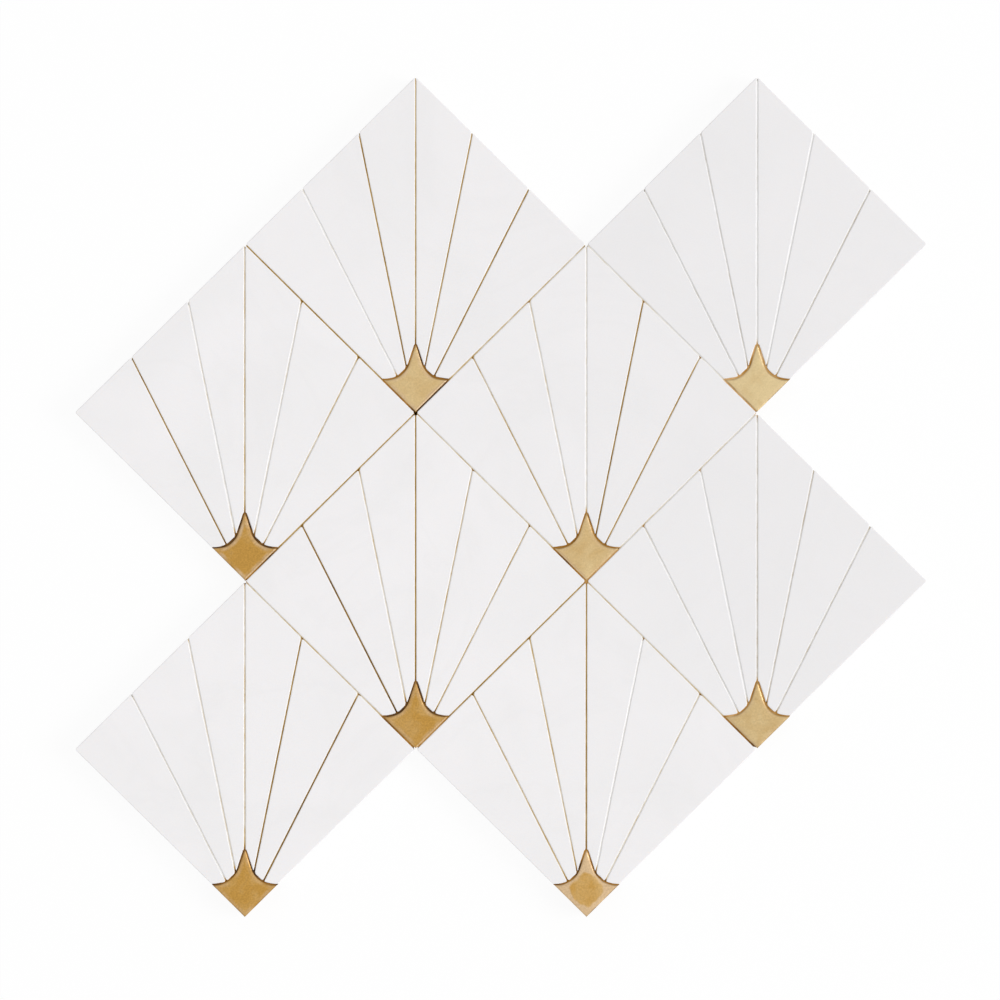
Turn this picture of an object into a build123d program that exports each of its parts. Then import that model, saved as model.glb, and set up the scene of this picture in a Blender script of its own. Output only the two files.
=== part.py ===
from build123d import *
import math
import os

# Driving dimensions of the sheet, in millimetres
diamond_width = 122.0  # pitch across a diamond's side corners, joint included
diamond_height = 120.3  # pitch from a diamond's lower corner to its top corner, joint included
fan_rows = 4
fans_per_row = 2
petals_per_side = 3  # petals on each half of a fan
piece_thickness = 9.5  # marble and brass alike, so the face is flush

# Marble petals
stone_joint = 0.4  # open joint between neighbouring petals
rim_corner_cut = 0.5  # how far the two corners at a petal's outer end are blunted
stone_arris = 0.2  # eased upper edge

# Brass hubs
hub_width = 23.2  # between the two side tips
hub_height = 23.8  # from the lower corner to the apex
hub_apex_width = 0.5  # the apex is cut blunt and round
hub_flank_angle = 18.0  # degrees between an upper side and the fan's axis, next to the apex
hub_flank_length = 6.2  # straight run from the apex before an upper side turns hollow
hub_clearance = 0.35  # gap between a hub's hollow sides and the petals round it
brass_arris = 0.15  # eased upper edge

# Glass-fibre net that the pieces are glued to
net_thickness = 0.5
net_margin = 2.0  # how far the net stops short of the sheet's outline

half_width = diamond_width / 2
half_height = diamond_height / 2


def fan_places():
    # Lower corner of each diamond, row by row from the top, with every second row half a diamond to the left
    sheet_width = (2 * fans_per_row + 1) * half_width
    sheet_height = (fan_rows + 1) * half_height
    places = []
    for row in range(fan_rows):
        first_corner = 1 + (row + 1) % 2
        for column in range(fans_per_row):
            x = (first_corner + 2 * column) * half_width - sheet_width / 2
            y = sheet_height / 2 - (row + 2) * half_height
            places.append((x, y))
    return places


def rim_point(step):
    # Even steps up the left upper side of a diamond, over its top corner and down the right one
    across = step / petals_per_side - 1
    return (across * half_width, (2 - abs(across)) * half_height)


def hub_plan():
    # Straight lower sides in line with the petals beside them, and hollow upper sides under a pointed apex
    lower_corner = stone_joint / 2 * math.hypot(half_width, half_height) / half_width
    tip_x = hub_width / 2
    tip_y = lower_corner + tip_x * half_height / half_width
    flank = math.radians(hub_flank_angle)
    shoulder_x = hub_apex_width / 2
    apex_y = lower_corner + hub_height
    shoulder_y = apex_y - shoulder_x / math.cos(flank) * (1 - math.sin(flank))
    turn_x = shoulder_x + hub_flank_length * math.sin(flank)
    turn_y = shoulder_y - hub_flank_length * math.cos(flank)
    lower_sides = Polyline((-tip_x, tip_y), (0, lower_corner), (tip_x, tip_y))
    right_hollow = TangentArc((turn_x, turn_y), (tip_x, tip_y), tangent=(math.sin(flank), -math.cos(flank)))
    left_hollow = TangentArc((-turn_x, turn_y), (-tip_x, tip_y), tangent=(-math.sin(flank), -math.cos(flank)))
    right_flank = Line((shoulder_x, shoulder_y), (turn_x, turn_y))
    left_flank = Line((-shoulder_x, shoulder_y), (-turn_x, turn_y))
    apex = ThreePointArc((-shoulder_x, shoulder_y), (0, apex_y), (shoulder_x, shoulder_y))
    return make_face([lower_sides, right_hollow, right_flank, apex, left_flank, left_hollow])


def eased_slab(plan, arris):
    # A piece cut square through the slab and laid on the net, with its upper edges chamfered
    slab = extrude(Pos(0, 0, net_thickness) * plan, amount=piece_thickness)
    top_face = slab.faces().sort_by(Axis.Z)[-1]
    return chamfer(top_face.edges(), length=arris)


def stone_petal(number, hub_seat):
    # A ray from the lower corner to its share of the rim, cut back where the hub sits
    ray = Polygon((0, 0), rim_point(number + 1), rim_point(number), align=None)
    plan = offset(ray, amount=-stone_joint / 2, kind=Kind.INTERSECTION) - hub_seat
    rim_corners = plan.vertices().sort_by_distance((0, 0, 0))[-2:]
    plan = chamfer(rim_corners, length=rim_corner_cut)
    return eased_slab(plan, stone_arris)


def backing_net():
    # One sheet under every diamond, trimmed back from the interlocking outline
    left_corner = rim_point(0)
    top_corner = rim_point(petals_per_side)
    right_corner = rim_point(2 * petals_per_side)
    diamond = Polygon((0, 0), right_corner, top_corner, left_corner, align=None)
    plan = Sketch() + [Pos(x, y) * diamond for x, y in fan_places()]
    plan = offset(plan, amount=-net_margin, kind=Kind.INTERSECTION)
    return extrude(plan, amount=net_thickness)


def main():
    os.makedirs("parts", exist_ok=True)
    hub_seat = offset(hub_plan(), amount=hub_clearance)
    petals = [stone_petal(number, hub_seat) for number in range(2 * petals_per_side)]
    hub = eased_slab(hub_plan(), brass_arris)
    for fan, (x, y) in enumerate(fan_places(), start=1):
        for number, petal in enumerate(petals, start=1):
            export_step(Pos(x, y) * petal, f"parts/fan_{fan}_petal_{number}.step")
        export_step(Pos(x, y) * hub, f"parts/fan_{fan}_brass_hub.step")
    export_step(backing_net(), "parts/backing_net.step")


main()
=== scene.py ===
import math
import random

import bpy
import numpy as np
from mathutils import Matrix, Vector, noise
from mathutils.geometry import delaunay_2d_cdt


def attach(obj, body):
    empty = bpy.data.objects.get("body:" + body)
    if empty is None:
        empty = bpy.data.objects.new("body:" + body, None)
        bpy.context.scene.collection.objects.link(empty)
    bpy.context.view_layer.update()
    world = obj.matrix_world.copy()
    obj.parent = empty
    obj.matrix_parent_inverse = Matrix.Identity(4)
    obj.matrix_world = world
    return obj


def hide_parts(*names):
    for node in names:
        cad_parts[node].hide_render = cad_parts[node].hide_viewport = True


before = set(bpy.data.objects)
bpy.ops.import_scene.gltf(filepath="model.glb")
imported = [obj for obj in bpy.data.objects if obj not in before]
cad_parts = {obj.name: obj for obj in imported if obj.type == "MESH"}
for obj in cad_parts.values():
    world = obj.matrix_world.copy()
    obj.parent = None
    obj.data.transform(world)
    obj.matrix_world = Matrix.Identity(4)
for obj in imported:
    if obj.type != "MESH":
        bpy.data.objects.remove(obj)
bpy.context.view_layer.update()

fanCount = 8
petalCount = 6
mm = 0.001
halfJoint = 0.2  # millimetres, half the joint between petals
hubNear = 0.1  # millimetres, closer points of a hub's outline are merged
nearlyStraight = 0.2  # sine of the turn at a corner
noiseSpan = (0.3, 0.7)  # where most of a noise's values lie
seedSpan = 500.0
planDigits = 4  # decimals of a millimetre kept in outlines
body = "root"


# Small helpers for nodes and meshes


def addNode(tree, kind, inputs=None, **settings):
    node = tree.nodes.new(kind)
    for key, value in settings.items():
        setattr(node, key, value)
    for key, value in (inputs or {}).items():
        if isinstance(value, bpy.types.NodeSocket):
            tree.links.new(value, node.inputs[key])
        else:
            node.inputs[key].default_value = value
    return node


def newFinish(name):
    finish = bpy.data.materials.new(name)
    finish.use_nodes = True
    tree = finish.node_tree
    tree.nodes.clear()
    shader = addNode(tree, "ShaderNodeBsdfPrincipled")
    addNode(tree, "ShaderNodeOutputMaterial", {"Surface": shader.outputs["BSDF"]})
    return finish, tree, shader


def mixColour(tree, factor, first, second, blend="MIX"):
    inputs = {0: factor, 6: first, 7: second}
    return addNode(tree, "ShaderNodeMix", inputs, data_type="RGBA", blend_type=blend).outputs[2]


def spread(tree, value, low, high, newLow, newHigh):
    inputs = {0: value, 1: low, 2: high, 3: newLow, 4: newHigh}
    return addNode(tree, "ShaderNodeMapRange", inputs).outputs[0]


def grade(tree, grain, low, high):
    return spread(tree, grain, *noiseSpan, low, high)


def grainNoise(tree, coords, scale, detail=3.0, rough=0.5, warp=0.0):
    inputs = {"Vector": coords, "Scale": scale, "Detail": detail, "Roughness": rough, "Distortion": warp}
    return addNode(tree, "ShaderNodeTexNoise", inputs).outputs["Fac"]


def workOut(tree, kind, first, second=0.0):
    return addNode(tree, "ShaderNodeMath", {0: first, 1: second}, operation=kind).outputs[0]


def painted(tree, label):
    return addNode(tree, "ShaderNodeAttribute", attribute_name=label).outputs["Fac"]


def objectCoords(tree):
    return addNode(tree, "ShaderNodeTexCoord").outputs["Object"]


def greyOf(tree, value):
    return addNode(tree, "ShaderNodeCombineColor", {0: value, 1: value, 2: value}).outputs[0]


def addBump(tree, shader, height, strength, depth):
    inputs = {"Height": height, "Strength": strength, "Distance": depth}
    tree.links.new(addNode(tree, "ShaderNodeBump", inputs).outputs[0], shader.inputs["Normal"])


def colour(r, g, b):
    return (r, g, b, 1.0)


def placed(name, data):
    piece = bpy.data.objects.new(name, data)
    bpy.context.scene.collection.objects.link(piece)
    return piece


def meshPiece(name, verts, faces, finish, sharp=35.0):
    mesh = bpy.data.meshes.new(name)
    mesh.from_pydata([(x * mm, y * mm, z * mm) for x, y, z in verts], [], faces)
    mesh.shade_smooth()
    mesh.set_sharp_from_angle(angle=math.radians(sharp))
    mesh.materials.append(finish)
    return placed(name, mesh)


def paintPoints(piece, label, values):
    layer = piece.data.attributes.new(label, "FLOAT", "POINT")
    layer.data.foreach_set("value", np.asarray(values, np.float32))


def clamp(value, low=0.0, high=1.0):
    return min(high, max(low, value))


def smoothStep(low, high, value):
    t = clamp((value - low) / (high - low))
    return t * t * (3 - 2 * t)


def waver(spot, size, seed):
    return noise.noise(Vector((spot[0] / size, spot[1] / size, seed)))


# Plan outlines, in millimetres, read off the underside of each cut piece


def mergeNear(points, near):
    kept = [points[0]]
    for p in points[1:]:
        if math.dist(p, kept[-1]) >= near:
            kept.append(p)
    if math.dist(kept[0], kept[-1]) < near:
        kept.pop()
    return np.array(kept)


def readOutline(nodeName, near):
    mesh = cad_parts[nodeName].data
    heights = [v.co.z for v in mesh.vertices]
    low = min(heights)
    edges = set()
    for face in mesh.polygons:
        if max(heights[i] for i in face.vertices) > low + 1e-6:  # not on the underside
            continue
        spots = [mesh.vertices[i].co for i in face.vertices]
        keys = [(round(p.x / mm, planDigits), round(p.y / mm, planDigits)) for p in spots]
        edges.update(zip(keys, keys[1:] + keys[:1]))
    onward = {b: a for a, b in edges if a != b and (b, a) not in edges}  # counter-clockwise from above
    loop = [min(onward)]
    while onward[loop[-1]] != loop[0]:
        loop.append(onward[loop[-1]])
    return mergeNear(loop, near), low / mm, max(heights) / mm


def inwardNormals(points):
    along = np.roll(points, -1, axis=0) - points
    along /= np.hypot(along[:, 0], along[:, 1])[:, None]
    along += np.roll(along, 1, axis=0)
    along /= np.hypot(along[:, 0], along[:, 1])[:, None]
    return np.stack([-along[:, 1], along[:, 0]], axis=1)


def outlineDistance(spots, points):
    nearest = np.full(len(spots), np.inf)
    for a, b in zip(points, np.roll(points, -1, axis=0)):
        span = b - a
        t = np.clip(((spots - a) @ span) / (span @ span), 0, 1)
        nearest = np.minimum(nearest, np.hypot(*(spots - a - t[:, None] * span).T))
    return nearest


def insideOutline(spots, points):
    inside = np.zeros(len(spots), bool)
    for a, b in zip(points, np.roll(points, -1, axis=0)):
        crosses = (a[1] > spots[:, 1]) != (b[1] > spots[:, 1])
        if a[1] != b[1]:
            x = a[0] + (spots[:, 1] - a[1]) * (b[0] - a[0]) / (b[1] - a[1])
            inside ^= crosses & (spots[:, 0] < x)
    return inside


def roomInside(points, inward):
    start, span = points, np.roll(points, -1, axis=0) - points
    room = np.full(len(points), np.inf)
    for i, (p, n) in enumerate(zip(points, inward)):
        across = n[0] * span[:, 1] - n[1] * span[:, 0]
        across = np.where(np.abs(across) < 1e-9, 1e-9, across)  # a side along the normal
        away = start - p
        reach = (away[:, 0] * span[:, 1] - away[:, 1] * span[:, 0]) / across
        share = (away[:, 0] * n[1] - away[:, 1] * n[0]) / across
        hit = (share >= 0) & (share <= 1) & (reach > 1e-4)  # past the point's own sides
        room[i] = reach[hit].min(initial=np.inf)
    return room


def unfold(points, inward, width, tries=6):  # narrows an arris where it would cross itself
    along = np.roll(points, -1, axis=0) - points
    for attempt in range(tries):
        inner = points + inward * width[:, None]
        folded = (along * (np.roll(inner, -1, axis=0) - inner)).sum(axis=1) <= 0
        width = np.where(folded | np.roll(folded, 1), width / 2, width)
    return width


def ringFaces(rings, count):
    faces = []
    for r in range(rings - 1):
        for i in range(count):
            j = (i + 1) % count
            a, b = r * count, (r + 1) * count
            faces.append((a + i, a + j, b + j, b + i))
    return faces


# The pattern's own lattice, for joints and tones

hubOutlines = {f: readOutline(f"fan_{f}_brass_hub", hubNear) for f in range(1, fanCount + 1)}
hubCorners = {f: outline[np.argmin(outline[:, 1])] for f, (outline, low, top) in hubOutlines.items()}
halfWidth = (hubCorners[2][0] - hubCorners[1][0]) / 2
halfHeight = hubCorners[1][1] - hubCorners[3][1]
sideLength = math.hypot(halfWidth, halfHeight)
cornerDrop = np.array([0.0, halfJoint * sideLength / halfWidth])
fanCorners = {f: corner - cornerDrop for f, corner in hubCorners.items()}
faceHeight = hubOutlines[1][2]
underside = hubOutlines[1][1]
print("outlines read, half pitch", round(halfWidth, 2), round(halfHeight, 2))


def rayEnd(k):
    across = k / (petalCount / 2) - 1
    return np.array([across * halfWidth, (2 - abs(across)) * halfHeight])


rayEnds = [rayEnd(k) for k in range(petalCount + 1)]  # from a fan's lower corner, left to right


def inSomeFan(point):
    for corner in fanCorners.values():
        dx = abs(point[0] - corner[0]) / halfWidth
        dy = abs(point[1] - corner[1] - halfHeight) / halfHeight
        if dx + dy <= 1.0:
            return True
    return False


# Tones of the joints: 0 is pale and nearly flush, 1 is dark and low

jointFill = {
    "seed": 19,
    "rays": {  # joints between petals, left to right in each fan
        1: (0.05, 0.65, 0.45, 0.6, 0.65),
        2: (0.15, 0.2, 0.1, 0.1, 0.3),
        3: (0.7, 0.1, 0.35, 0.15, 0.3),
        4: (0.35, 0.2, 0.15, 0.65, 0.6),
        5: (0.85, 0.25, 0.65, 0.35, 0.4),
        6: (0.15, 0.1, 0.25, 0.3, 0.25),
        7: (0.1, 0.2, 0.3, 0.7, 0.85),
        8: (0.4, 0.4, 0.6, 0.05, 0.2),
    },
    "feet": {  # joints along a fan's lower left and lower right
        1: (0.6, 0.35),
        2: (0.15, 0.2),
        3: (0.5, 0.55),
        4: (0.3, 0.2),
        5: (0.3, 0.6),
        6: (0.3, 0.3),
    },
    "hubFeet": {  # the same joints where a hub ends in them
        1: (0.8, 1.0),
        2: (0.5, 0.5),
        3: (0.8, 0.8),
        4: (0.8, 0.4),
        5: (0.85, 0.6),
        6: (0.85, 0.5),
    },
    "hubArcs": {1: 0.85, 2: 0.5, 3: 0.95, 4: 0.75, 5: 0.95, 6: 0.6, 7: 0.95, 8: 0.85},
    "grey": {2: 0.6, 6: 0.5},  # fans whose joints are greyer
    "openFrom": (0.5, 0.95),  # tones between which the sides part
    "hubSoil": 0.22,
    "soilFrom": (0.2, 0.5),
    "soilFade": (0.5, 7.0),
    "arcFade": (0.4, 1.8),
    "hubReach": 12.4,
    "footReach": 1.2,
    "rayReach": 0.45,
    "hubHalfGap": 0.175,
    "holdReach": 0.35,  # past a joint's middle, where the next piece has to be
    "overlap": 0.06,
    "buried": 0.04,
    "shallow": 0.12,
    "deeper": 0.25,
    "lowest": 0.14,
    "lowFrom": 0.7,
    "rise": 0.1,
    "bow": (0.35, 0.3),  # shares of the half joint and of the rise
    "ripple": 0.08,
    "rippleSize": 3.0,
    "drift": 0.12,
    "driftSize": 16.0,
    "patchy": 0.3,
    "patchSize": 5.0,
    "toneAndShadeAcross": (0.75, 0.9, 1.4, 1.4, 0.75),  # pale at the walls, dark in the middle, partly the filler's own tone and partly painted shade deep in the joint
    "skip": 2,
    "plugTone": 0.85,
    "rimPlug": 1.7,
    "seatPlug": 0.9,
    "seatStep": 0.001,
    "plugDrop": 0.08,
    "plugSides": 10,
}


def lineDistance(point, direction):
    return abs(point[0] * direction[1] - point[1] * direction[0]) / math.hypot(*direction)


def footLook(point, fill):
    for fan, (left, right) in fill["feet"].items():
        x, y = point - fanCorners[fan]
        above = abs(abs(x) / halfWidth - y / halfHeight) * halfHeight
        if abs(x) < halfWidth and above < fill["footReach"]:
            atHub = abs(x) < fill["hubReach"]
            if atHub:
                left, right = fill["hubFeet"][fan]
            return left if x < 0 else right, 0.0, float(atHub)
    return None


def fillLook(fan, point, fill):  # tone, grey and warm shares
    foot = footLook(point, fill)
    if foot is not None:
        return foot
    arc = fill["hubArcs"][fan]
    fromCorner = point - fanCorners[fan]
    for ray, end in zip(fill["rays"][fan], rayEnds[1:]):
        if lineDistance(fromCorner, end) < fill["rayReach"]:
            gap = outlineDistance(point[None, :], hubOutlines[fan][0])[0]
            soil = fill["hubSoil"] * (1 - smoothStep(*fill["soilFade"], gap))
            soil *= smoothStep(*fill["soilFrom"], ray)
            close = 1 - smoothStep(*fill["arcFade"], gap)
            tone = ray + soil + max(0.0, arc - ray - soil) * close
            return tone, fill["grey"].get(fan, 0.0) * (1 - close), close
    return arc, 0.0, 1.0


# Hand-cut outlines, set back from the true ones by hundredths of a millimetre

wobbleMix = {"fast": 0.6, "middle": 0.5, "swing": 0.4}  # shares of a cut's wobble


def openShare(fan, spot, inward):
    if not inSomeFan(spot - inward * 3 * halfJoint):  # no piece beyond the joint
        return 0.0
    return smoothStep(*jointFill["openFrom"], fillLook(fan, spot - inward * halfJoint, jointFill)[0])


def lobeGive(lobes, share):
    lobe = lobes[min(len(lobes) - 1, int(share * len(lobes)))]
    return lobe * math.sin(math.pi * len(lobes) * share) ** 2


def sideGives(fan, corners, along, inward, isLong, rng, cut):
    count = len(corners)
    begin, end = np.full(count, np.nan), np.full(count, np.nan)
    longOnes = np.flatnonzero(isLong)
    for i in longOnes:
        opened = cut["openGive"] * openShare(fan, corners[i] + along[i] / 2, inward[i])
        middle = rng.uniform(0, cut["setBack"]) + opened
        skew = rng.uniform(-cut["skew"], cut["skew"])
        begin[i], end[i] = max(0, middle - skew), max(0, middle + skew)
    for a, b in zip(longOnes, np.roll(longOnes, -1)):  # arcs and cut corners carry on from side to side
        run = (b - a) % count - 1
        lobes = [rng.uniform(0, cut["arcGive"]) for k in range(cut["arcLobes"])]
        for j in range(run):
            k = (a + 1 + j) % count
            begin[k] = end[a] + (begin[b] - end[a]) * j / run + lobeGive(lobes, j / run)
            end[k] = end[a] + (begin[b] - end[a]) * (j + 1) / run + lobeGive(lobes, (j + 1) / run)
    return begin, end


def movedCorners(corners, inward, begin, end):
    moved = corners.copy()
    for i in range(len(corners)):
        n1, n2, e, f = inward[i - 1], inward[i], end[i - 1], begin[i]
        cross = n1[0] * n2[1] - n1[1] * n2[0]
        if abs(cross) < nearlyStraight:
            moved[i] += (n1 + n2) * (e + f) / 4
        else:
            moved[i] += np.array([e * n2[1] - f * n1[1], f * n1[0] - e * n2[0]]) / cross
    return moved


def brokenCorners(fan, corners, length, isLong, rng, cut):
    broken = np.zeros(len(corners))
    atHub = outlineDistance(corners, hubOutlines[fan][0]) < cut["seatReach"]
    for i in np.flatnonzero(atHub & (isLong != np.roll(isLong, 1))):
        most = cut["breakMost"] * min(length[i], length[i - 1])
        broken[i] = min(rng.uniform(cut["breakLeast"], 1.0) * cut["cornerBreak"], most)
    return broken


def stepAlong(moved, begin, end, broken, step):
    points, back = [], []
    count = len(moved)
    for i in range(count):
        j = (i + 1) % count
        span = moved[j] - moved[i]
        reach = np.hypot(*span)
        first, last = broken[i] / reach, 1 - broken[j] / reach
        steps = max(1, math.ceil(reach * (last - first) / step))
        for s in range(steps + (broken[j] > 0)):
            share = first + (last - first) * s / steps
            points.append(moved[i] + span * share)
            back.append(begin[i] + (end[i] - begin[i]) * share)
    return np.array(points), np.array(back)


def handSet(fan, corners, rng, cut):
    along = np.roll(corners, -1, axis=0) - corners
    length = np.hypot(along[:, 0], along[:, 1])
    inward = np.stack([-along[:, 1], along[:, 0]], axis=1) / length[:, None]
    isLong = length > cut["longSide"]
    begin, end = sideGives(fan, corners, along, inward, isLong, rng, cut)
    moved = movedCorners(corners, inward, begin, end)
    broken = brokenCorners(fan, corners, length, isLong, rng, cut)
    points, back = stepAlong(moved, begin, end, broken, cut["step"])
    seed = rng.uniform(0, seedSpan)
    for i, (p, n) in enumerate(zip(points.copy(), inwardNormals(points))):
        wave = waver(p, cut["wobbleSlow"], seed)
        wave += wobbleMix["fast"] * waver(p, cut["wobbleFast"], seed + 9)
        give = cut["wobble"] * clamp(wobbleMix["middle"] + wobbleMix["swing"] * wave)
        points[i] = p + n * give
        back[i] += give
    return points, back


# Marble

marble = {
    "white": colour(0.873, 0.856, 0.864),
    "cloud": colour(0.838, 0.826, 0.83),
    "cool": colour(0.775, 0.764, 0.769),
    "speck": colour(0.42, 0.41, 0.41),
    "clouds": (24.0, 5.0, 0.55, 0.5),  # a noise's scale, detail, roughness and warp
    "cloudSpan": (0.38, 0.66),
    "cloudShare": 0.8,
    "veins": (11.0, 6.0, 0.6, 1.4),
    "veinWidth": 0.035,
    "veinShare": 0.13,
    "speckCells": 34.0,
    "speckSize": (0.008, 0.02),
    "speckRare": 0.86,
    "grain": (2100.0, 3.0, 0.7),
    "grainShade": (0.985, 1.01),
    "rough": (0.38, 0.5),
    "striae": (1400.0, 3.0, 0.6),
    "striaStretch": 0.035,
    "levelSpan": (0.2, 0.6),
    "faceRelief": 0.3,
    "relief": 0.5,
    "reliefDepth": 0.06 * mm,
    "glow": 0.12,
    "glowDepth": 1.2 * mm,
    "glowColour": (1.0, 0.9, 0.8),
    "index": 1.49,
}


def marbleFinish(name, look):
    finish, tree, shader = newFinish(name)
    coords = objectCoords(tree)
    cloud = grainNoise(tree, coords, *look["clouds"])
    vein = grainNoise(tree, coords, *look["veins"])
    grain = grainNoise(tree, coords, *look["grain"])
    cloudy = spread(tree, cloud, *look["cloudSpan"], 0.0, look["cloudShare"])
    stone = mixColour(tree, cloudy, look["white"], look["cloud"])
    streak = workOut(tree, "ABSOLUTE", workOut(tree, "SUBTRACT", vein, 0.5))
    streaky = spread(tree, streak, 0.0, look["veinWidth"], look["veinShare"], 0.0)
    stone = mixColour(tree, streaky, stone, look["cool"])
    # Painted shade: the cool colour is mixed in by each petal's painted shade, darker towards the right,
    # and by its random tone
    stone = mixColour(tree, painted(tree, "petalToneAndShade"), stone, look["cool"])
    cells = addNode(tree, "ShaderNodeTexVoronoi", {"Vector": coords, "Scale": look["speckCells"]}).outputs
    close = spread(tree, cells["Distance"], *look["speckSize"], 1.0, 0.0)
    pick = addNode(tree, "ShaderNodeSeparateColor", {"Color": cells["Color"]}).outputs[0]
    rare = workOut(tree, "GREATER_THAN", pick, look["speckRare"])
    stone = mixColour(tree, workOut(tree, "MULTIPLY", close, rare), stone, look["speck"])
    fine = greyOf(tree, grade(tree, grain, *look["grainShade"]))
    stone = mixColour(tree, 1.0, stone, fine, "MULTIPLY")
    tree.links.new(stone, shader.inputs["Base Color"])
    tree.links.new(grade(tree, grain, *look["rough"]), shader.inputs["Roughness"])
    # Jet-cut walls have upright striations, and the honed face has only its crystal grain
    upright = {"Vector": coords, "Scale": (1.0, 1.0, look["striaStretch"])}
    upright = addNode(tree, "ShaderNodeMapping", upright).outputs[0]
    stria = grainNoise(tree, upright, *look["striae"])
    normal = addNode(tree, "ShaderNodeNewGeometry").outputs["Normal"]
    facing = addNode(tree, "ShaderNodeSeparateXYZ", {0: normal}).outputs["Z"]
    level = spread(tree, workOut(tree, "ABSOLUTE", facing), *look["levelSpan"], 0.0, 1.0)
    crystal = workOut(tree, "MULTIPLY", grain, look["faceRelief"])
    relief = addNode(tree, "ShaderNodeMix", {0: level, 2: stria, 3: crystal}).outputs[0]
    addBump(tree, shader, relief, look["relief"], look["reliefDepth"])
    shader.inputs["Subsurface Weight"].default_value = look["glow"]
    shader.inputs["Subsurface Radius"].default_value = look["glowColour"]
    shader.inputs["Subsurface Scale"].default_value = look["glowDepth"]
    shader.inputs["IOR"].default_value = look["index"]
    return finish


stoneCut = {
    "seed": 41,
    "near": 0.22,
    "longSide": 7.0,
    "setBack": 0.05,
    "openGive": 0.05,
    "skew": 0.03,
    "seatReach": 1.2,
    "cornerBreak": 0.55,
    "breakLeast": 0.3,
    "breakMost": 0.6,
    "step": 0.75,
    "wobble": 0.05,
    "wobbleSlow": 7.0,
    "wobbleFast": 1.6,
    "arcGive": 0.25,
    "arcLobes": 1,
    "arris": 0.25,
    "arrisSpread": (0.6, 0.8),  # least share, and what wear adds
    "arrisSteps": ((0.0, 0.5), (0.08, 0.4), (0.9, 0.04), (1.0, 0.0)),  # shares of its width, in and down
    "wearSize": 5.0,
    "chip": 0.3,
    "chipSize": 1.5,
    "chipFrom": 0.42,
    "cornerArris": 0.2,
    "cornerTurn": 0.25,
    "roomShare": 0.4,
    "lippage": 0.07,
    "tilt": 0.0007,
    "tone": (0.06, 0.5),  # at the left, and the painted shade added towards the right
    "rightShadeSpan": (-60.0, 140.0),
    "rightShadeLean": 0.4,
    "toneSpread": 0.08,
}
marbleLook = marbleFinish("honedMarble", marble)
cutEdges = []  # every worked outline, for the joint filler


def arrisWidths(points, inward, seed, cut):
    along = np.roll(points, -1, axis=0) - points
    heading = np.unwrap(np.arctan2(along[:, 1], along[:, 0]))
    turn = np.abs(np.sin(heading - np.roll(heading, 1)))
    atCorner = np.maximum(turn, np.maximum(np.roll(turn, 1), np.roll(turn, -1))) > cut["cornerTurn"]
    least, more = cut["arrisSpread"]
    widths = []
    for p, corner in zip(points, atCorner):
        worn = 0.5 + 0.5 * waver(p, cut["wearSize"], seed)
        nick = waver(p, cut["chipSize"], seed + 3)
        size = cut["arris"] * (least + more * worn) + cut["chip"] * max(0.0, nick - cut["chipFrom"])
        widths.append(min(size, cut["cornerArris"]) if corner else size)
    widths = np.minimum(widths, cut["roomShare"] * roomInside(points, inward))
    return unfold(points, inward, widths)


def stonePetal(fan, number, cut):
    node = f"fan_{fan}_petal_{number}"
    corners, low, top = readOutline(node, cut["near"])
    rng = random.Random(cut["seed"] * 1000 + fan * 10 + number)
    points, back = handSet(fan, corners, rng, cut)
    inward = inwardNormals(points)
    count = len(points)
    arris = arrisWidths(points, inward, rng.uniform(0, seedSpan), cut)
    middle = points.mean(axis=0)
    lean = np.array([rng.uniform(-cut["tilt"], cut["tilt"]), rng.uniform(-cut["tilt"], cut["tilt"])])
    plane = (points - middle) @ lean
    plane += top - max(plane) - rng.uniform(0, cut["lippage"])
    verts = [(p[0], p[1], low) for p in points]
    for share, drop in cut["arrisSteps"]:
        for p, n, a, z in zip(points, inward, arris, plane):
            verts.append((p[0] + n[0] * a * share, p[1] + n[1] * a * share, z - a * drop))
    rings = len(cut["arrisSteps"]) + 1
    height = plane[0] - points[0] @ lean
    for i in range((rings - 1) * count, rings * count):  # the face's own rim lies on the honed plane
        x, y, z = verts[i]
        verts[i] = (x, y, height + x * lean[0] + y * lean[1])
    faces = ringFaces(rings, count)
    faces.append(tuple(range((rings - 1) * count, rings * count)))
    faces.append(tuple(reversed(range(count))))
    piece = meshPiece(f"marblePetal_{fan}_{number}", verts, faces, marbleLook)
    piece.data.polygons[len(faces) - 2].use_smooth = False
    piece.data.polygons[len(faces) - 1].use_smooth = False
    # Painted shade: petals towards the right of the sheet are painted darker, on top of a random spread of
    # tone
    leftTone, rightShade = cut["tone"]
    right = smoothStep(*cut["rightShadeSpan"], middle[0] + cut["rightShadeLean"] * middle[1])
    tone = leftTone + rightShade * right + rng.uniform(-cut["toneSpread"], cut["toneSpread"])
    paintPoints(piece, "petalToneAndShade", np.full(len(verts), tone))
    shoulder = plane - arris * cut["arrisSteps"][0][1]
    cutEdges.append((fan, "petal", points, inward, back, shoulder))
    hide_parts(node)
    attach(piece, body)
    return piece


petals = [stonePetal(f, n, stoneCut) for f in range(1, fanCount + 1) for n in range(1, petalCount + 1)]
print("marble petals", len(petals), "faces", sum(len(p.data.polygons) for p in petals))


# Brass

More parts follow.
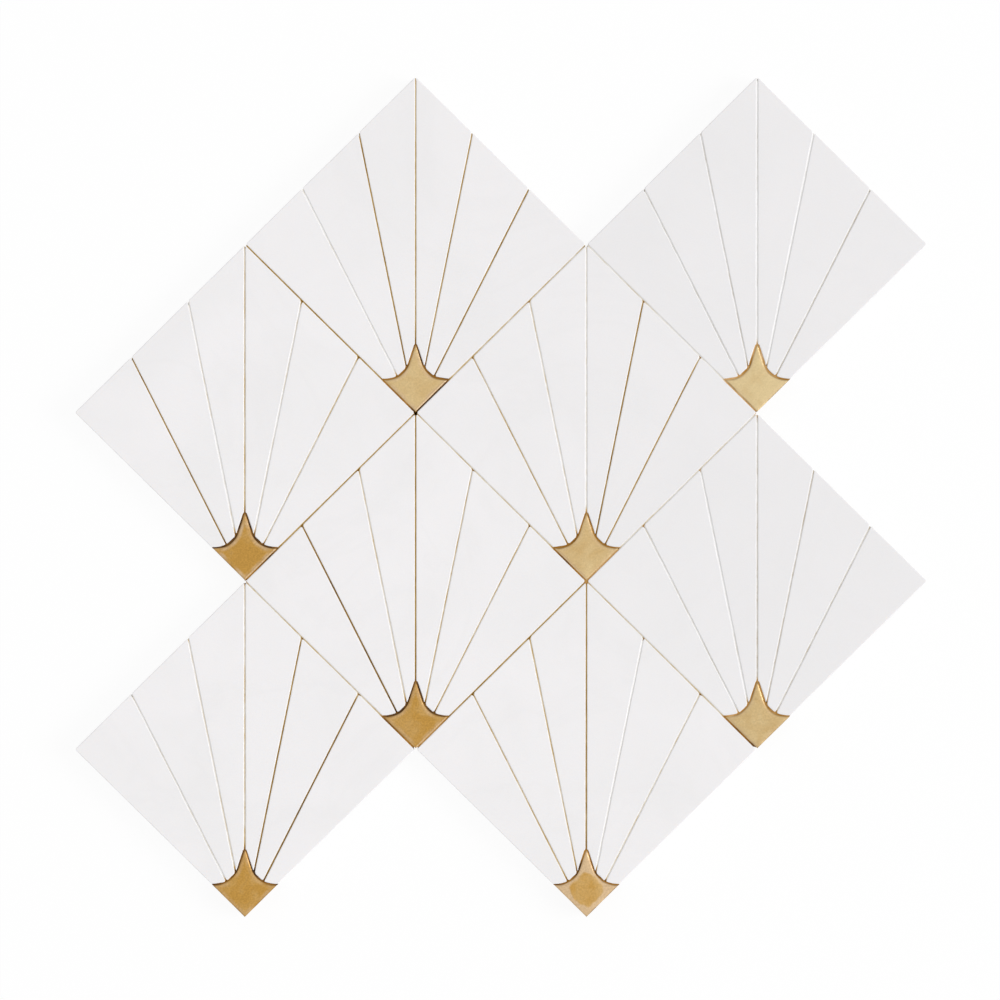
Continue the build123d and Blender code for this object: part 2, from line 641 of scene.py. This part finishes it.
brass = {
    # Pale is the brass with a painted reflection on it; each hub's painted level mixes deep towards pale
    "deep": colour(0.461, 0.255, 0.058),
    "pale": colour(0.616, 0.484, 0.267),
    "worn": colour(0.579, 0.424, 0.262),
    "tarnish": colour(0.13, 0.055, 0.018),
    "clouds": (150.0, 4.0, 0.55, 0.6),
    "cloudSpan": (0.35, 0.65),
    "cloudDrift": 0.14,
    "mottle": (1500.0, 4.0, 0.6),
    "mottleShade": (-0.16, 0.17),
    "paleCalm": 0.4,  # pale hubs are less mottled
    "brush": (900.0, 3.0, 0.6),
    "brushStretch": 0.05,
    "brushShade": (0.96, 1.03),
    "dirtPatch": (0.5, 1.0),
    "rough": (0.34, 0.46),
    "relief": 0.25,
    "reliefDepth": 0.02 * mm,
}


def brassFinish(name, look):
    finish, tree, shader = newFinish(name)
    coords = objectCoords(tree)
    tone = painted(tree, "hubPaintedReflection")
    brush = addNode(tree, "ShaderNodeUVMap", uv_map="brushUV").outputs["UV"]
    cloud = grainNoise(tree, coords, *look["clouds"])
    mottle = grainNoise(tree, coords, *look["mottle"])
    stretched = {"Vector": brush, "Scale": (look["brushStretch"], 1.0, 1.0)}
    stretched = addNode(tree, "ShaderNodeMapping", stretched).outputs[0]
    lines = grainNoise(tree, stretched, *look["brush"])
    drift = spread(tree, cloud, *look["cloudSpan"], -look["cloudDrift"], look["cloudDrift"])
    # Painted reflection: the hub's painted level, with a little drift, mixes deep towards pale brass
    base = mixColour(tree, workOut(tree, "ADD", tone, drift), look["deep"], look["pale"])
    # Rubbed wear and painted highlights mix in the worn colour
    base = mixColour(tree, painted(tree, "hubRubAndHighlight"), base, look["worn"])
    calm = spread(tree, tone, 0.0, 1.0, 1.0, look["paleCalm"])
    speckle = workOut(tree, "MULTIPLY", calm, grade(tree, mottle, *look["mottleShade"]))
    fine = workOut(tree, "ADD", speckle, grade(tree, lines, *look["brushShade"]))
    fine = workOut(tree, "MULTIPLY", fine, painted(tree, "hubGain"))
    base = mixColour(tree, 1.0, base, greyOf(tree, fine), "MULTIPLY")
    # Edge dirt and painted shade lines mix in the tarnish
    dirtAndShade = workOut(tree, "MULTIPLY", painted(tree, "hubEdgeDirtAndShade"), grade(tree, mottle, *look["dirtPatch"]))
    base = mixColour(tree, dirtAndShade, base, look["tarnish"])
    tree.links.new(base, shader.inputs["Base Color"])
    tree.links.new(grade(tree, cloud, *look["rough"]), shader.inputs["Roughness"])
    addBump(tree, shader, workOut(tree, "ADD", lines, mottle), look["relief"], look["reliefDepth"])
    shader.inputs["Metallic"].default_value = 1.0
    return finish


hubFinish = {
    "seed": 77,
    "longSide": 7.0,
    "setBack": 0.05,
    "openGive": 0.06,
    "skew": 0.03,
    "seatReach": 0.0,  # no corner of a hub is broken
    "step": 0.35,
    "wobble": 0.03,
    "wobbleSlow": 5.0,
    "wobbleFast": 1.5,
    "arcGive": 0.35,
    "arcLobes": 2,
    "grid": 0.3,
    "clear": 0.2,
    "crown": 0.15,
    "crownLeast": 0.6,
    "crownWidth": 2.4,
    "arris": 0.13,
    "arrisWidth": 0.22,
    "wallTop": 0.15,
    "brushTurn": (20, 70),  # degrees
    "tones": {1: 0.68, 2: 1.0, 3: 0.0, 4: 0.68, 5: 0.03, 6: 0.66, 7: 0.03, 8: 0.2},  # golden to pale, a painted reflection: paler hubs stand towards the upper right
    "gains": {1: 1.07, 2: 1.06, 3: 1.04, 4: 1.06, 5: 1.04, 6: 1.0, 7: 1.05, 8: 1.11},
    "wallDirt": 0.4,
    "arcDirt": 1.0,
    "footDirt": {  # lower left, lower right
        1: (0.8, 0.3),
        2: (1.3, 1.2),
        3: (0.8, 0.4),
        4: (0.8, 0.7),
        5: (0.8, 0.6),
        6: (1.0, 0.9),
        7: (0.8, 0.9),
        8: (0.4, 1.0),
    },
    "dirtWidth": 0.5,
    "footSlack": 0.15,
    "clots": (0.65, 0.9),  # middle and swing
    "clotLeast": 0.25,
    "clotSize": 4.0,
    "bands": {1: 0.7, 2: 0.2, 3: 0.8, 4: 0.4, 5: 0.5, 6: 0.3, 7: 0.4, 8: 0.9},  # rubbed edges
    "bandFade": (0.7, 1.7),
    "patches": (0.55, 0.9),
    "patchSize": 3.0,
    "highlightFeet": {  # painted highlights on the eased edges, lower left, lower right
        1: (0.3, 1.0),
        3: (0.0, 0.9),
        4: (0.7, 0.3),
        5: (0.3, 0.7),
        6: (0.4, 0.0),
    },
    "highlightFade": (0.35, 0.55),
    # A painted line of shade just inside a painted highlight
    "paintedShadeLine": 0.35,
    "shadeLineRise": (0.4, 0.6),
    "shadeLineFall": (0.6, 0.9),
    "rubbed": {8: 0.85},  # hub with its whole border rubbed
    "rubHeight": 10.1,
    "rubSize": 5.3,
    "rubWaver": 0.5,
    "rubWaverSize": 1.7,
    "rubFade": (-0.4, 0.4),
}
brassLook = brassFinish("satinBrass", brass)
rowStep = 0.866  # of the pitch, for even triangles


def gridInside(points, pitch, clear):
    low, high = points.min(axis=0), points.max(axis=0)
    rows = []
    for r, y in enumerate(np.arange(low[1], high[1], pitch * rowStep)):
        xs = np.arange(low[0] + (r % 2) * pitch / 2, high[0], pitch)
        rows.append(np.stack([xs, np.full(len(xs), y)], axis=1))
    spots = np.concatenate(rows)
    spots = spots[insideOutline(spots, points)]
    return spots[outlineDistance(spots, points) > clear]


def fillOutline(points, inner):
    spots = [Vector(p) for p in points] + [Vector(p) for p in inner]
    count = len(points)
    rim = [(i, (i + 1) % count) for i in range(count)]
    found = delaunay_2d_cdt(spots, rim, [], 1, 1e-6)  # 1 keeps what lies inside the rim
    where = [(v.x, v.y) for v in found[0]]
    triangles = []
    for a, b, c in found[2]:
        (ax, ay), (bx, by), (cx, cy) = where[a], where[b], where[c]
        turn = (bx - ax) * (cy - ay) - (by - ay) * (cx - ax)
        triangles.append((a, b, c) if turn > 0 else (a, c, b))
    return np.array(where), triangles


def hubWearAndPaintedLight(fan, where, deep, cut):
    rubsAndHighlights, grimeAndShade = [], []
    highlightFeet = cut["highlightFeet"].get(fan, (0.0, 0.0))
    clotMiddle, clotSwing = cut["clots"]
    patchMiddle, patchSwing = cut["patches"]
    for (x, y), inside in zip(where - fanCorners[fan], deep):
        side = int(x > 0)
        fromFoot = (y - abs(x) * halfHeight / halfWidth) * halfWidth / sideLength - halfJoint
        onFoot = fromFoot < inside + cut["footSlack"]
        strength = cut["footDirt"][fan][side] if onFoot else cut["arcDirt"]
        clots = clamp(clotMiddle + clotSwing * waver((x, y), cut["clotSize"], fan * 3.0), cut["clotLeast"])
        dirtAndShadeLine = min(1.0, strength * clots) * (1 - min(1.0, inside / cut["dirtWidth"]))
        patch = clamp(patchMiddle + patchSwing * waver((x, y), cut["patchSize"], fan * 7.0))
        rubAndHighlight = cut["bands"][fan] * (1 - smoothStep(*cut["bandFade"], inside)) * patch
        # Painted highlight: a pale band along a lit lower edge, which takes off the edge dirt and has a
        # painted shade line just inside it
        highlight = highlightFeet[side] if onFoot else 0.0
        if highlight > 0:
            rubAndHighlight = max(rubAndHighlight, highlight * (1 - smoothStep(*cut["highlightFade"], inside)))
            inner = smoothStep(*cut["shadeLineRise"], inside) * (1 - smoothStep(*cut["shadeLineFall"], inside))
            dirtAndShadeLine = max(dirtAndShadeLine * (1 - highlight), cut["paintedShadeLine"] * highlight * inner)
        # A soft square, its sides along the lower edges, parts the rubbed border from the middle
        y -= cut["rubHeight"]
        square = (abs(x + y) ** 3 + abs(x - y) ** 3) ** (1 / 3) / math.sqrt(2)
        square += cut["rubWaver"] * waver((x, y), cut["rubWaverSize"], fan)
        border = cut["rubbed"].get(fan, 0.0) * smoothStep(*cut["rubFade"], square - cut["rubSize"])
        rubsAndHighlights.append(max(border, rubAndHighlight))
        grimeAndShade.append(dirtAndShadeLine)
    return rubsAndHighlights, grimeAndShade


def brushMap(piece, verts, middle, turn):
    layer = piece.data.uv_layers.new(name="brushUV")
    for loop in piece.data.loops:
        x, y = verts[loop.vertex_index][:2]
        u = (x - middle[0]) * math.cos(turn) + (y - middle[1]) * math.sin(turn)
        v = (y - middle[1]) * math.cos(turn) - (x - middle[0]) * math.sin(turn)
        layer.data[loop.index].uv = (u * mm, v * mm)


def brassHub(fan, cut):
    node = f"fan_{fan}_brass_hub"
    corners, low, top = hubOutlines[fan]
    rng = random.Random(cut["seed"] * 1000 + fan)
    points, back = handSet(fan, corners, rng, cut)
    inward = inwardNormals(points)
    where, triangles = fillOutline(points, gridInside(points, cut["grid"], cut["clear"]))
    deep = outlineDistance(where, points)
    crown = cut["crown"] * rng.uniform(cut["crownLeast"], 1.0)
    fall = crown * (1 - np.clip(deep / cut["crownWidth"], 0, 1)) ** 2
    fall += cut["arris"] * (1 - np.clip(deep / cut["arrisWidth"], 0, 1)) ** 2
    count = len(points)
    verts = [(x, y, top - d) for (x, y), d in zip(where, fall)]
    rim = len(verts)
    verts += [(x, y, top - crown - cut["arris"] - cut["wallTop"]) for x, y in where[:count]]
    verts += [(x, y, low) for x, y in where[:count]]
    faces = list(triangles)
    for i in range(count):
        j = (i + 1) % count
        faces.append((rim + i, rim + j, j, i))
        faces.append((rim + count + i, rim + count + j, rim + j, rim + i))
    faces.append(tuple(reversed(range(rim + count, rim + 2 * count))))
    piece = meshPiece(f"brassHub_{fan}", verts, faces, brassLook, sharp=50.0)
    rubsAndHighlights, grimeAndShade = hubWearAndPaintedLight(fan, where, deep, cut)
    # Painted reflection: one level for the whole hub, paler towards the upper right
    paintPoints(piece, "hubPaintedReflection", np.full(len(verts), cut["tones"][fan]))
    paintPoints(piece, "hubGain", np.full(len(verts), cut["gains"][fan]))
    # Rubbed bands and painted highlights; edge dirt and painted shade lines
    paintPoints(piece, "hubRubAndHighlight", rubsAndHighlights + [0.0] * 2 * count)
    paintPoints(piece, "hubEdgeDirtAndShade", grimeAndShade + [cut["wallDirt"]] * 2 * count)
    brushMap(piece, verts, points.mean(axis=0), math.radians(rng.uniform(*cut["brushTurn"])))
    cutEdges.append((fan, "hub", points, inward, back, top - fall[:count]))
    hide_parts(node)
    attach(piece, body)
    return piece


hubs = [brassHub(f, hubFinish) for f in range(1, fanCount + 1)]
print("brass hubs", len(hubs), "faces", sum(len(h.data.polygons) for h in hubs))


# Adhesive that has risen into the joints

adhesive = {
    "shine": 0.1,
    "warm": colour(1.0, 0.8, 0.6),
    "patches": (260.0, 4.0, 0.6),
    "patchDrift": 0.1,
    "rough": (0.4, 0.65),
    "relief": 0.4,
    "reliefDepth": 0.2 * mm,
    "tones": (
        (0.0, colour(0.82, 0.81, 0.79)),
        (0.1, colour(0.79, 0.77, 0.74)),
        (0.25, colour(0.705, 0.65, 0.556)),
        (0.45, colour(0.57, 0.42, 0.21)),
        (0.68, colour(0.37, 0.225, 0.05)),
        (0.88, colour(0.25, 0.14, 0.024)),
        (1.0, colour(0.085, 0.05, 0.018)),
    ),
}


def adhesiveFinish(name, look, label):
    finish, tree, shader = newFinish(name)
    patch = grainNoise(tree, objectCoords(tree), *look["patches"])
    drift = grade(tree, patch, -look["patchDrift"], look["patchDrift"])
    tone = workOut(tree, "ADD", painted(tree, label), drift)
    ramp = addNode(tree, "ShaderNodeValToRGB", {"Fac": tone})
    stops = ramp.color_ramp.elements
    while len(stops) < len(look["tones"]):
        stops.new(0.5)
    for stop, (place, paint) in zip(stops, look["tones"]):
        stop.position = place
        stop.color = paint
    plain = addNode(tree, "ShaderNodeRGBToBW", {0: ramp.outputs[0]}).outputs[0]
    base = mixColour(tree, painted(tree, "fillGrey"), ramp.outputs[0], greyOf(tree, plain))
    base = mixColour(tree, painted(tree, "fillWarm"), base, look["warm"], "MULTIPLY")
    tree.links.new(base, shader.inputs["Base Color"])
    tree.links.new(grade(tree, patch, *look["rough"]), shader.inputs["Roughness"])
    shader.inputs["Specular IOR Level"].default_value = look["shine"]
    addBump(tree, shader, patch, look["relief"], look["reliefDepth"])
    return finish


adhesiveLook = adhesiveFinish("jointAdhesive", adhesive, "fillTone")


def fillDepth(tone, fill):
    low = max(0.0, tone - fill["lowFrom"]) / (1 - fill["lowFrom"])
    return fill["shallow"] + fill["deeper"] * tone + fill["lowest"] * low


def joinedSpots(fill):  # where joints meet each other or a hub: place, radius and tone
    spots = []
    turns = np.arange(8) * math.pi / 4
    circle = [fill["rimPlug"] * np.array([math.cos(a), math.sin(a)]) for a in turns]
    reach = np.arange(0.0, 1.0, fill["seatStep"])[:, None]
    for fan, corner in fanCorners.items():
        for k, ray in enumerate(rayEnds):
            rim = corner + ray
            around = [rim + c for c in circle]
            if all(inSomeFan(p) for p in around):
                nearby = (around[0], around[4], rim)  # right, left and middle
                tone = max(fillLook(fan, p, fill)[0] for p in nearby)
                spots.append((rim, fill["rimPlug"], min(tone, fill["plugTone"])))
            if 0 < k < petalCount:
                inHub = insideOutline(corner + ray * reach, hubOutlines[fan][0])
                seat = corner + ray * reach[inHub].max()
                seat = seat + ray / np.hypot(*ray) * fill["hubHalfGap"]
                spots.append((seat, fill["seatPlug"], fill["hubArcs"][fan]))
    return spots


def stripLooks(fan, centre, fill):
    tone, grey, warm = np.array([fillLook(fan, q, fill) for q in centre]).T
    for i, q in enumerate(centre):
        drift = fill["drift"] * waver(q, fill["driftSize"], fill["seed"])
        patchy = fill["patchy"] * warm[i] * waver(q, fill["patchSize"], fill["seed"] + 2)
        tone[i] = clamp(tone[i] + drift + patchy)
    tone = (np.roll(tone, 1) + 2 * tone + np.roll(tone, -1)) / 4
    return tone, grey, warm


def stripFaces(section, count, sides):
    faces = []
    for i, a in section.items():
        j = (i + 1) % count
        if j in section:
            b = section[j]
            for k in range(sides):
                m = (k + 1) % sides
                faces.append((a + k, a + m, b + m, b + k))
        else:
            faces.append(tuple(a + k for k in reversed(range(sides))))
        if (i - 1) % count not in section:
            faces.append(tuple(a + k for k in range(sides)))
    return faces


def jointStrip(bead, fan, kind, edge, fill):
    points, inward, back, shoulder = (a[:: fill["skip"]] for a in edge)
    reach = back + (fill["hubHalfGap"] if kind == "hub" else halfJoint)
    centre = points - inward * reach[:, None]
    tone, grey, warm = stripLooks(fan, centre, fill)
    bowOut, bowUp = fill["bow"]
    sides = len(fill["toneAndShadeAcross"])
    section = {}
    for i, (p, n, q) in enumerate(zip(points, inward, centre)):
        if not inSomeFan(p - n * (reach[i] + fill["holdReach"])):
            continue
        uneven = fill["ripple"] * waver(q, fill["rippleSize"], fill["seed"] + 5)
        level = faceHeight - fillDepth(tone[i], fill) + uneven
        level = min(level, shoulder[i] - fill["rise"])
        wall = p + n * fill["buried"]
        bow = p - n * reach[i] * bowOut
        far = q - n * fill["overlap"]
        section[i] = len(bead["verts"])
        bead["verts"] += [
            (*wall, level + fill["rise"]),
            (*bow, level + fill["rise"] * bowUp),
            (*far, level),
            (*far, underside),
            (*wall, underside),
        ]
        # Across the strip the middle is darker, partly as painted shade deep in the joint
        bead["fillTone"] += [min(1.0, tone[i] * (1 + (s - 1) * (1 - warm[i]))) for s in fill["toneAndShadeAcross"]]
        bead["fillGrey"] += [grey[i]] * sides
        bead["fillWarm"] += [warm[i]] * sides
    bead["faces"] += stripFaces(section, len(points), sides)


def jointPlug(bead, spot, radius, tone, fill):
    first, sides = len(bead["verts"]), fill["plugSides"]
    for level in (faceHeight - fillDepth(tone, fill) - fill["plugDrop"], underside):
        for a in np.arange(sides) * 2 * math.pi / sides:
            bead["verts"].append((spot[0] + radius * math.cos(a), spot[1] + radius * math.sin(a), level))
    top = range(first, first + sides)
    base = range(first + sides, first + 2 * sides)
    bead["faces"].append(tuple(top))
    bead["faces"].append(tuple(reversed(base)))
    for k in range(sides):
        m = (k + 1) % sides
        bead["faces"].append((base[k], base[m], top[m], top[k]))
    bead["fillTone"] += [tone] * 2 * sides
    bead["fillGrey"] += [0.0] * 2 * sides
    bead["fillWarm"] += [1.0] * 2 * sides


def layJoints(fill):
    labels = ("fillTone", "fillGrey", "fillWarm")
    bead = {key: [] for key in ("verts", "faces") + labels}
    for fan, kind, *edge in cutEdges:
        jointStrip(bead, fan, kind, edge, fill)
    for spot, radius, tone in joinedSpots(fill):
        jointPlug(bead, spot, radius, tone, fill)
    piece = meshPiece("jointAdhesive", bead["verts"], bead["faces"], adhesiveLook, sharp=40.0)
    for label in labels:
        paintPoints(piece, label, bead[label])
    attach(piece, body)
    return piece


joints = layJoints(jointFill)
print("joint adhesive faces", len(joints.data.polygons))


# Net and glue on the underside

glueBed = {
    "seed": 63,
    "near": 0.1,
    "pitch": 2.2,
    "clear": 0.4,  # share of the pitch
    "inset": 0.6,
    "insetSize": 8.0,
    "thin": 0.06,
    "thick": 0.26,
    "patch": 9.0,
    "patchSwing": 0.7,
}
glue = {
    **adhesive,
    "shine": 0.5,
    "warm": colour(1.0, 1.0, 1.0),
    "tones": (
        (0.0, colour(0.80, 0.78, 0.72)),
        (0.4, colour(0.72, 0.68, 0.58)),
        (0.7, colour(0.62, 0.55, 0.41)),
        (1.0, colour(0.46, 0.36, 0.22)),
    ),
}
netOutline, netTop = readOutline("backing_net", glueBed["near"])[::2]
glueLook = adhesiveFinish("netGlue", glue, "glueTone")


def glueEdge(bed):
    edge = []
    for start, stop in zip(netOutline, np.roll(netOutline, -1, axis=0)):
        steps = math.ceil(np.hypot(*(stop - start)) / bed["pitch"])
        edge += [start + (stop - start) * s / steps for s in range(steps)]
    edge = np.array(edge)
    for i, (p, n) in enumerate(zip(edge.copy(), inwardNormals(edge))):
        give = 0.5 + 0.5 * waver(p, bed["insetSize"], bed["seed"])
        edge[i] = p + n * bed["inset"] * give
    return edge


def layGlue(bed):
    edge = glueEdge(bed)
    where, triangles = fillOutline(edge, gridInside(edge, bed["pitch"], bed["pitch"] * bed["clear"]))
    verts = [(x, y, netTop) for x, y in where]
    tones = []
    for x, y in where:
        blot = noise.fractal(Vector((x / bed["patch"], y / bed["patch"], bed["seed"])), 1.0, 2.0, 3)
        share = clamp(0.5 + bed["patchSwing"] * blot)
        verts.append((x, y, netTop - bed["thin"] - (bed["thick"] - bed["thin"]) * share))
        tones.append(share)
    total, rim = len(where), len(edge)
    faces = list(triangles)
    faces += [(a + total, c + total, b + total) for a, b, c in triangles]
    faces += [(total + i, total + (i + 1) % rim, (i + 1) % rim, i) for i in range(rim)]
    piece = meshPiece("netGlue", verts, faces, glueLook, sharp=50.0)
    paintPoints(piece, "glueTone", tones + tones)
    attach(piece, body)
    return piece


glueSheet = layGlue(glueBed)
print("glue faces", len(glueSheet.data.polygons))

netWeave = {
    "Pitch": 5.0 * mm,
    "Strand Width": 0.95 * mm,
    "Strand Depth": 0.2 * mm,
    "Weave": 0.12 * mm,
    "Wander": 0.25 * mm,
    "Height": 0.245 * mm,
    "Across": 0.31,
    "Seed": 5.0,
}
strandForm = {"sides": 6, "wanderScale": 30.0}
fibre = {
    "pale": colour(0.86, 0.84, 0.78),
    "shade": colour(0.66, 0.63, 0.55),
    "runScale": 160.0,
    "lines": (14.0, 3.0, 0.6),
    "lineSpan": (0.35, 0.65),
    "lineShare": 0.7,
    "patches": (90.0, 3.0),
    "dull": (0.9, 1.0),
    "rough": (0.45, 0.65),
    "relief": 0.5,
    "reliefDepth": 0.08 * mm,
}


def fibreFinish(name, look):
    finish, tree, shader = newFinish(name)
    along = workOut(tree, "MULTIPLY", painted(tree, "strandRun"), look["runScale"])
    place = addNode(tree, "ShaderNodeCombineXYZ", {0: along, 1: painted(tree, "strandSide")})
    lines = grainNoise(tree, place.outputs[0], *look["lines"])
    patch = grainNoise(tree, objectCoords(tree), *look["patches"])
    lined = spread(tree, lines, *look["lineSpan"], 0.0, look["lineShare"])
    base = mixColour(tree, lined, look["pale"], look["shade"])
    base = mixColour(tree, 1.0, base, greyOf(tree, grade(tree, patch, *look["dull"])), "MULTIPLY")
    tree.links.new(base, shader.inputs["Base Color"])
    tree.links.new(grade(tree, lines, *look["rough"]), shader.inputs["Roughness"])
    addBump(tree, shader, lines, look["relief"], look["reliefDepth"])
    return finish


def netTree(finish):
    tree = bpy.data.node_groups.new("backingNet", "GeometryNodeTree")
    face = tree.interface
    face.new_socket("Geometry", in_out="OUTPUT", socket_type="NodeSocketGeometry")
    face.new_socket("Sheet", in_out="INPUT", socket_type="NodeSocketObject")
    for label in netWeave:
        face.new_socket(label, in_out="INPUT", socket_type="NodeSocketFloat")
    start = addNode(tree, "NodeGroupInput").outputs

    def shape(kind, inputs=None, **settings):
        return addNode(tree, "GeometryNode" + kind, inputs, **settings).outputs[0]

    def work(kind, first, second=0.0):
        return workOut(tree, kind, first, second)

    def whole(value):
        return addNode(tree, "FunctionNodeFloatToInt", {0: value}).outputs[0]

    def vector(x=0.0, y=0.0, z=0.0):
        return addNode(tree, "ShaderNodeCombineXYZ", {0: x, 1: y, 2: z}).outputs[0]

    def onAxis(axis, value):
        return vector(value) if axis == 0 else vector(0.0, value)

    def added(first, second):
        return addNode(tree, "ShaderNodeVectorMath", {0: first, 1: second}).outputs[0]

    def stored(geometry, label, value):
        inputs = {"Geometry": geometry, "Name": label, "Value": value}
        return shape("StoreNamedAttribute", inputs, data_type="FLOAT", domain="POINT")

    pitch = start["Pitch"]
    halfStep = work("DIVIDE", pitch, 2.0)
    back = work("MULTIPLY", work("DIVIDE", start["Across"], 2.0), -1.0)
    side = work("ADD", back, halfStep)
    strands = whole(work("DIVIDE", start["Across"], pitch))
    knots = whole(work("DIVIDE", start["Across"], halfStep))
    sheet = addNode(tree, "GeometryNodeObjectInfo", {"Object": start["Sheet"]}).outputs["Geometry"]
    spot = shape("InputPosition")
    xyz = addNode(tree, "ShaderNodeSeparateXYZ", {0: spot}).outputs
    ray = {"Target Geometry": sheet, "Source Position": added(spot, (0.0, 0.0, 1.0))}
    ray.update({"Ray Direction": (0.0, 0.0, -1.0), "Ray Length": 2.0})
    over = addNode(tree, "GeometryNodeRaycast", ray).outputs["Is Hit"]
    off = addNode(tree, "FunctionNodeBooleanMath", {0: over}, operation="NOT").outputs[0]
    both = addNode(tree, "GeometryNodeJoinGeometry")
    for axis in (0, 1):
        other = 1 - axis
        row = {"Count": strands, "Start Location": onAxis(axis, side), "Offset": onAxis(axis, pitch)}
        run = {"Count": knots, "Start Location": onAxis(other, back), "Offset": onAxis(other, halfStep)}
        rows = shape("MeshLine", row, mode="OFFSET")
        strand = shape("MeshLine", run, mode="OFFSET")
        laid = shape("InstanceOnPoints", {"Points": rows, "Instance": strand})
        laid = shape("RealizeInstances", {0: laid})
        # Strands pass over and under by turns, on cells counted from the first crossing
        cellRun = work("DIVIDE", work("SUBTRACT", xyz[other], side), pitch)
        cellSide = work("ROUND", work("DIVIDE", work("SUBTRACT", xyz[axis], side), pitch))
        turns = work("MULTIPLY", work("ADD", work("ADD", cellRun, cellSide), float(axis)), math.pi)
        lift = work("MULTIPLY", work("COSINE", turns), start["Weave"])
        seeded = added(spot, vector(start["Seed"], float(axis)))
        drift = grainNoise(tree, seeded, strandForm["wanderScale"], 1.0)
        sway = work("MULTIPLY", work("SUBTRACT", drift, 0.5), start["Wander"])
        shift = added(onAxis(axis, sway), vector(0.0, 0.0, work("ADD", lift, start["Height"])))
        laid = shape("DeleteGeometry", {"Geometry": laid, "Selection": off})
        laid = shape("SetPosition", {"Geometry": laid, "Offset": shift})
        laid = shape("MeshToCurve", {0: laid})
        laid = shape("SetCurveNormal", {0: laid}, mode="Z_UP")
        length = addNode(tree, "GeometryNodeSplineParameter").outputs["Length"]
        tree.links.new(stored(laid, "strandRun", length), both.inputs[0])
    ring = shape("CurvePrimitiveCircle", {"Resolution": strandForm["sides"], "Radius": 0.5})
    flat = vector(start["Strand Width"], start["Strand Depth"], 1.0)
    ring = shape("Transform", {"Geometry": ring, "Scale": flat})
    ring = stored(ring, "strandSide", shape("SplineParameter"))
    tubes = shape("CurveToMesh", {"Curve": both.outputs[0], "Profile Curve": ring, "Fill Caps": True})
    tubes = shape("RealizeInstances", {0: tubes})
    tubes = shape("SetMaterial", {"Geometry": tubes, "Material": finish})
    addNode(tree, "NodeGroupOutput", {0: tubes})
    return tree


def layNet():
    finish = fibreFinish("fibreNet", fibre)
    holder = placed("netHolder", bpy.data.meshes.new("netHolder"))
    weave = holder.modifiers.new("backingNet", "NODES")
    weave.node_group = netTree(finish)
    inputs = {"Sheet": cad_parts["backing_net"], **netWeave}
    for item in weave.node_group.interface.items_tree:
        if item.in_out == "INPUT":
            weave[item.identifier] = inputs[item.name]
    view = bpy.context.evaluated_depsgraph_get()
    mesh = bpy.data.meshes.new_from_object(holder.evaluated_get(view))
    holder.modifiers.remove(weave)
    bpy.data.objects.remove(holder)
    mesh.name = "backingNet"
    mesh.shade_smooth()
    piece = placed("backingNet", mesh)
    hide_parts("backing_net")
    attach(piece, body)
    return piece


net = layNet()
print("net faces", len(net.data.polygons))


# Floor, light and camera

studio = {
    "white": colour(1.0, 1.0, 1.0),
    "floor": colour(0.92, 0.92, 0.92),
    "floorGlow": 0.92,
    "floorHalf": 6000.0,  # millimetres
    "worldLight": 0.72,
    "lampPlace": (8.0, -0.6, 6.0),
    "lampSize": 5.0,
    "lampPower": 540.0,
    "cameraHeight": 1.6,
    "cameraX": -0.36 * mm,
    "cameraY": -1.16 * mm,
    "frameWidth": 357.1 * mm,
    "sensor": 36.0,
    "farthest": 50.0,
}


def pathShare(tree):
    path = addNode(tree, "ShaderNodeLightPath").outputs
    seen = workOut(tree, "MAXIMUM", path["Is Camera Ray"], path["Is Glossy Ray"])
    return workOut(tree, "MAXIMUM", seen, path["Is Transmission Ray"])


def layFloor():
    finish = bpy.data.materials.new("paleFloor")
    finish.use_nodes = True
    tree = finish.node_tree
    tree.nodes.clear()
    matt = addNode(tree, "ShaderNodeBsdfDiffuse", {"Color": studio["floor"]})
    glow = addNode(tree, "ShaderNodeEmission", {"Strength": 1.0})
    share = workOut(tree, "MULTIPLY", pathShare(tree), studio["floorGlow"])
    mixed = addNode(tree, "ShaderNodeMixShader", {0: share, 1: matt.outputs[0], 2: glow.outputs[0]})
    addNode(tree, "ShaderNodeOutputMaterial", {"Surface": mixed.outputs[0]})
    half = studio["floorHalf"]
    corners = [(-half, -half, 0.0), (half, -half, 0.0), (half, half, 0.0), (-half, half, 0.0)]
    floor = meshPiece("floor", corners, [(0, 1, 2, 3)], finish)


def setWorld():
    world = bpy.data.worlds.new("studio")
    bpy.context.scene.world = world
    world.use_nodes = True
    tree = world.node_tree
    tree.nodes.clear()
    light = {"Color": studio["white"], "Strength": studio["worldLight"]}
    light = addNode(tree, "ShaderNodeBackground", light).outputs[0]
    white = addNode(tree, "ShaderNodeBackground", {"Color": studio["white"], "Strength": 1.0}).outputs[0]
    mixed = addNode(tree, "ShaderNodeMixShader", {0: pathShare(tree), 1: light, 2: white})
    addNode(tree, "ShaderNodeOutputWorld", {"Surface": mixed.outputs[0]})


def setLamp():
    lamp = bpy.data.lights.new("rightBox", "AREA")
    lamp.shape = "SQUARE"
    lamp.size = studio["lampSize"]
    lamp.energy = studio["lampPower"]
    holder = placed("rightBox", lamp)
    holder.location = studio["lampPlace"]
    holder.rotation_euler = (-Vector(studio["lampPlace"])).to_track_quat("-Z", "Y").to_euler()


def setCamera():
    lens = bpy.data.cameras.new("camera")
    lens.sensor_width = studio["sensor"]
    distance = studio["cameraHeight"] - faceHeight * mm
    lens.lens = studio["sensor"] * distance / studio["frameWidth"]
    lens.clip_end = studio["farthest"]
    camera = placed("camera", lens)
    camera.location = (studio["cameraX"], studio["cameraY"], studio["cameraHeight"])
    bpy.context.scene.camera = camera


layFloor()
setWorld()
setLamp()
setCamera()
bpy.context.scene.view_settings.view_transform = "Standard"
print("studio set")
